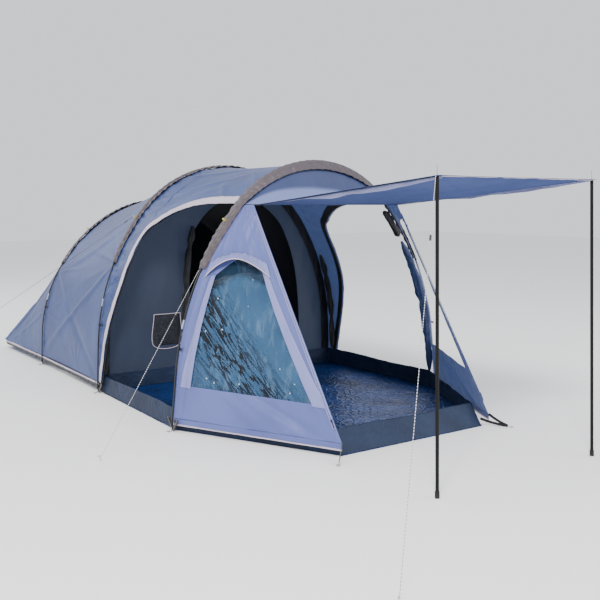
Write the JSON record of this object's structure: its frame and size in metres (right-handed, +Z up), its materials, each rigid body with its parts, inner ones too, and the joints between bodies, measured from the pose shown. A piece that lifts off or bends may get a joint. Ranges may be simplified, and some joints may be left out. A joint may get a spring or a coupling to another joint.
{
  "type": "tunnel tent",
  "caption": "Tunnel tent on three bent arches: sleeping cabin at the rear, living bay with side doors, and a front door propped up as a canopy.",
  "frame": {"origin": "on the ground at the centre of the pitched tent without its guy lines", "axes": "+X across, to the right for someone who looks in at the front door, +Y from the front door to the rear, +Z up"},
  "size_m": [3.7917, 6.8937, 1.9017],
  "materials": {
    "fly_cloth": "polyester fly, slate blue, low sheen",
    "sleeve_cloth": "warm grey pole sleeves, gathered",
    "pale_binding": "pale pink-white tape",
    "inner_cloth": "breathable dark inner tent cloth",
    "black_cloth": "black polyester",
    "mesh": "fine black mesh",
    "clear_film": "clear soft film, wrinkled",
    "groundsheet_film": "navy polyethylene sheet, glossy",
    "black_webbing": "woven black webbing",
    "yellow_webbing": "woven yellow webbing",
    "fibreglass": "black pultruded fibreglass rod",
    "bright_steel": "bright zinc-plated steel",
    "coated_steel": "dark coated steel tube",
    "black_plastic": "moulded black nylon",
    "foot_rubber": "moulded rubber",
    "guy_cord": "braided cord with reflective fleck"
  },
  "bodies": {
    "root": {"brow_panel": "fly_cloth", "cabin_floor": "groundsheet_film", "corner_straps": "black_webbing", "fly_hem": "pale_binding", "fly_rear_wall": "fly_cloth", "foot_pins": "bright_steel", "foot_webbing": "black_webbing", "front_arch_pole": "fibreglass", "front_bay_roof": "fly_cloth", "front_guy_line": "guy_cord", "front_sleeve": "sleeve_cloth", "front_zip_tracks": "black_plastic", "groundsheet": "groundsheet_film", "guy_pegs": "bright_steel", "guy_tabs": "yellow_webbing", "inner_door_roll": "inner_cloth", "inner_edge_band": "black_cloth", "inner_front_wall": "inner_cloth", "inner_rear_wall": "inner_cloth", "inner_tunnel": "inner_cloth", "left_door_strip": "fly_cloth", "left_front_panel": "fly_cloth", "mesh_pocket": "mesh", "middle_arch_pole": "fibreglass", "middle_guy_line": "guy_cord", "middle_sleeve": "sleeve_cloth", "peg_rings": "bright_steel", "pole_clips": "black_plastic", "pole_ferrules": "bright_steel", "porch_rolls": "fly_cloth", "rear_arch_pole": "fibreglass", "rear_bay_left_wall": "fly_cloth", "rear_bay_right_wall": "fly_cloth", "rear_bay_roof": "fly_cloth", "rear_sleeve": "sleeve_cloth", "right_door_strip": "fly_cloth", "right_front_panel": "fly_cloth", "side_door_bindings": "pale_binding", "side_door_rolls": "black_cloth", "sleeve_hooks": "black_plastic", "tie_toggles": "black_plastic", "tied_guy_line": "guy_cord", "window_curtain": "black_cloth", "window_hood": "fly_cloth", "window_pane": "clear_film"},
    "canopy": {"canopy_panel": "fly_cloth", "canopy_eyelets": "bright_steel", "canopy_binding": "black_cloth"},
    "left_pole": {"left_canopy_pole": "coated_steel", "left_pole_foot": "foot_rubber", "left_pole_spike": "bright_steel", "pole_guy_line": "guy_cord"},
    "right_pole": {"right_canopy_pole": "coated_steel", "right_pole_foot": "foot_rubber", "right_pole_spike": "bright_steel"},
    "left_slider": {"left_zip_slider": "black_plastic"},
    "right_slider": {"right_zip_slider": "black_plastic"},
    "middle_runner": {"middle_guy_runner": "black_plastic"},
    "front_runner": {"front_guy_runner": "black_plastic"},
    "pole_runner": {"pole_guy_runner": "black_plastic"}
  },
  "joints": [
    {"name": "canopy_hinge", "type": "hinge", "parent": "root", "child": "canopy", "pos_m": [0, -1.2153, 1.55], "axis": [1, 0, 0], "range_deg": [0, 59.5]},
    {"name": "left_pole_tip", "type": "hinge", "parent": "root", "child": "left_pole", "pos_m": [-0.655, -3.0406, 0.013], "axis": [-0.7753, -0.6315, 0.009], "range_deg": [0, 90]},
    {"name": "right_pole_tip", "type": "hinge", "parent": "root", "child": "right_pole", "pos_m": [0.655, -3.0406, 0.013], "axis": [-0.7753, 0.6315, -0.009], "range_deg": [0, 90]},
    {"name": "left_zip_slide", "type": "slide", "parent": "root", "child": "left_slider", "axis": [-0.0142, 0.5612, 0.8276], "range_m": [0, 1.55]},
    {"name": "right_zip_slide", "type": "slide", "parent": "root", "child": "right_slider", "axis": [0.0142, 0.5612, 0.8276], "range_m": [0, 1.55]},
    {"name": "middle_runner_slide", "type": "slide", "parent": "root", "child": "middle_runner", "axis": [-0.628, 0.5422, -0.5582], "range_m": [-0.04, 2.3]},
    {"name": "front_runner_slide", "type": "slide", "parent": "root", "child": "front_runner", "axis": [-0.6013, -0.248, -0.7596], "range_m": [-0.3, 0.85]},
    {"name": "pole_runner_slide", "type": "slide", "parent": "left_pole", "child": "pole_runner", "axis": [-0.4466, -0.3661, -0.8164], "range_m": [-0.3, 1.4]}
  ],
  "couplings": [
    {"joint": "left_pole_tip", "follows": "canopy_hinge", "ratio": 1.5125},
    {"joint": "right_pole_tip", "follows": "canopy_hinge", "ratio": 1.5125}
  ]
}
